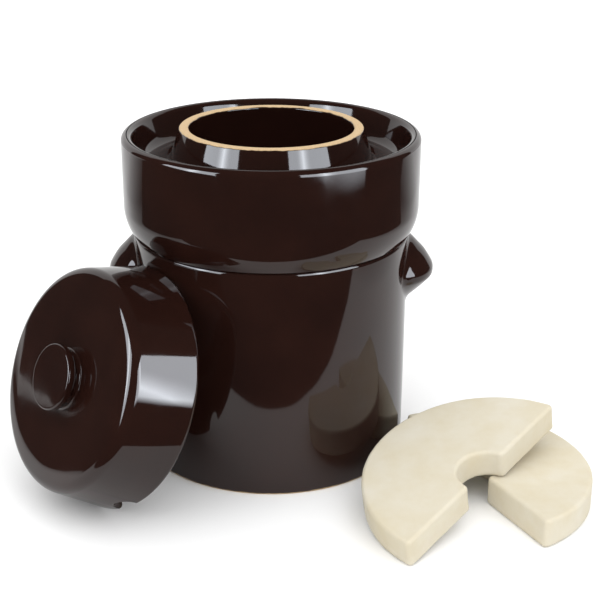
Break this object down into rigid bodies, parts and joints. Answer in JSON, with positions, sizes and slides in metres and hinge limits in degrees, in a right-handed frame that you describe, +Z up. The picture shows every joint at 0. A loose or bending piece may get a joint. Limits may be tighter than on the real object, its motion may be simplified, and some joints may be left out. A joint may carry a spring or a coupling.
{
  "type": "ceramic crock fermenter",
  "caption": "Glazed stoneware fermentation crock with a water channel round its mouth, side lugs, a deep-skirted lid leaning on it and half-moon weights beside it.",
  "frame": {"origin": "centre of the jar's flat base", "axes": "+Z up along the jar's axis; +X towards the lug beside the weights; -Y towards the side that the lid and the weights stand on"},
  "size_m": [0.4639, 0.3377, 0.273],
  "materials": {
    "brown_glaze": "dark brown gloss glaze",
    "cream_stoneware": "bare cream stoneware, matt"
  },
  "bodies": {
    "jar": {"crock_body": "brown_glaze", "water_channel_collar": "brown_glaze", "lug_handle_left": "brown_glaze", "lug_handle_right": "brown_glaze"},
    "lid": {"lid_bell": "brown_glaze", "lid_knob": "brown_glaze"},
    "weight_lower": {"weight_stone_lower": "cream_stoneware"},
    "weight_upper": {"weight_stone_upper": "cream_stoneware"}
  },
  "joints": [
    {"name": "lid_lift", "type": "slide", "parent": "jar", "child": "lid", "axis": [-0.7455, -0.5456, 0.3827], "range_m": [0, 0.2]},
    {"name": "weight_lower_slide", "type": "slide", "parent": "jar", "child": "weight_lower", "axis": [1, 0, 0], "range_m": [0, 0.2]},
    {"name": "weight_upper_lift", "type": "slide", "parent": "jar", "child": "weight_upper", "axis": [0, 0, 1], "range_m": [0, 0.3]}
  ]
}
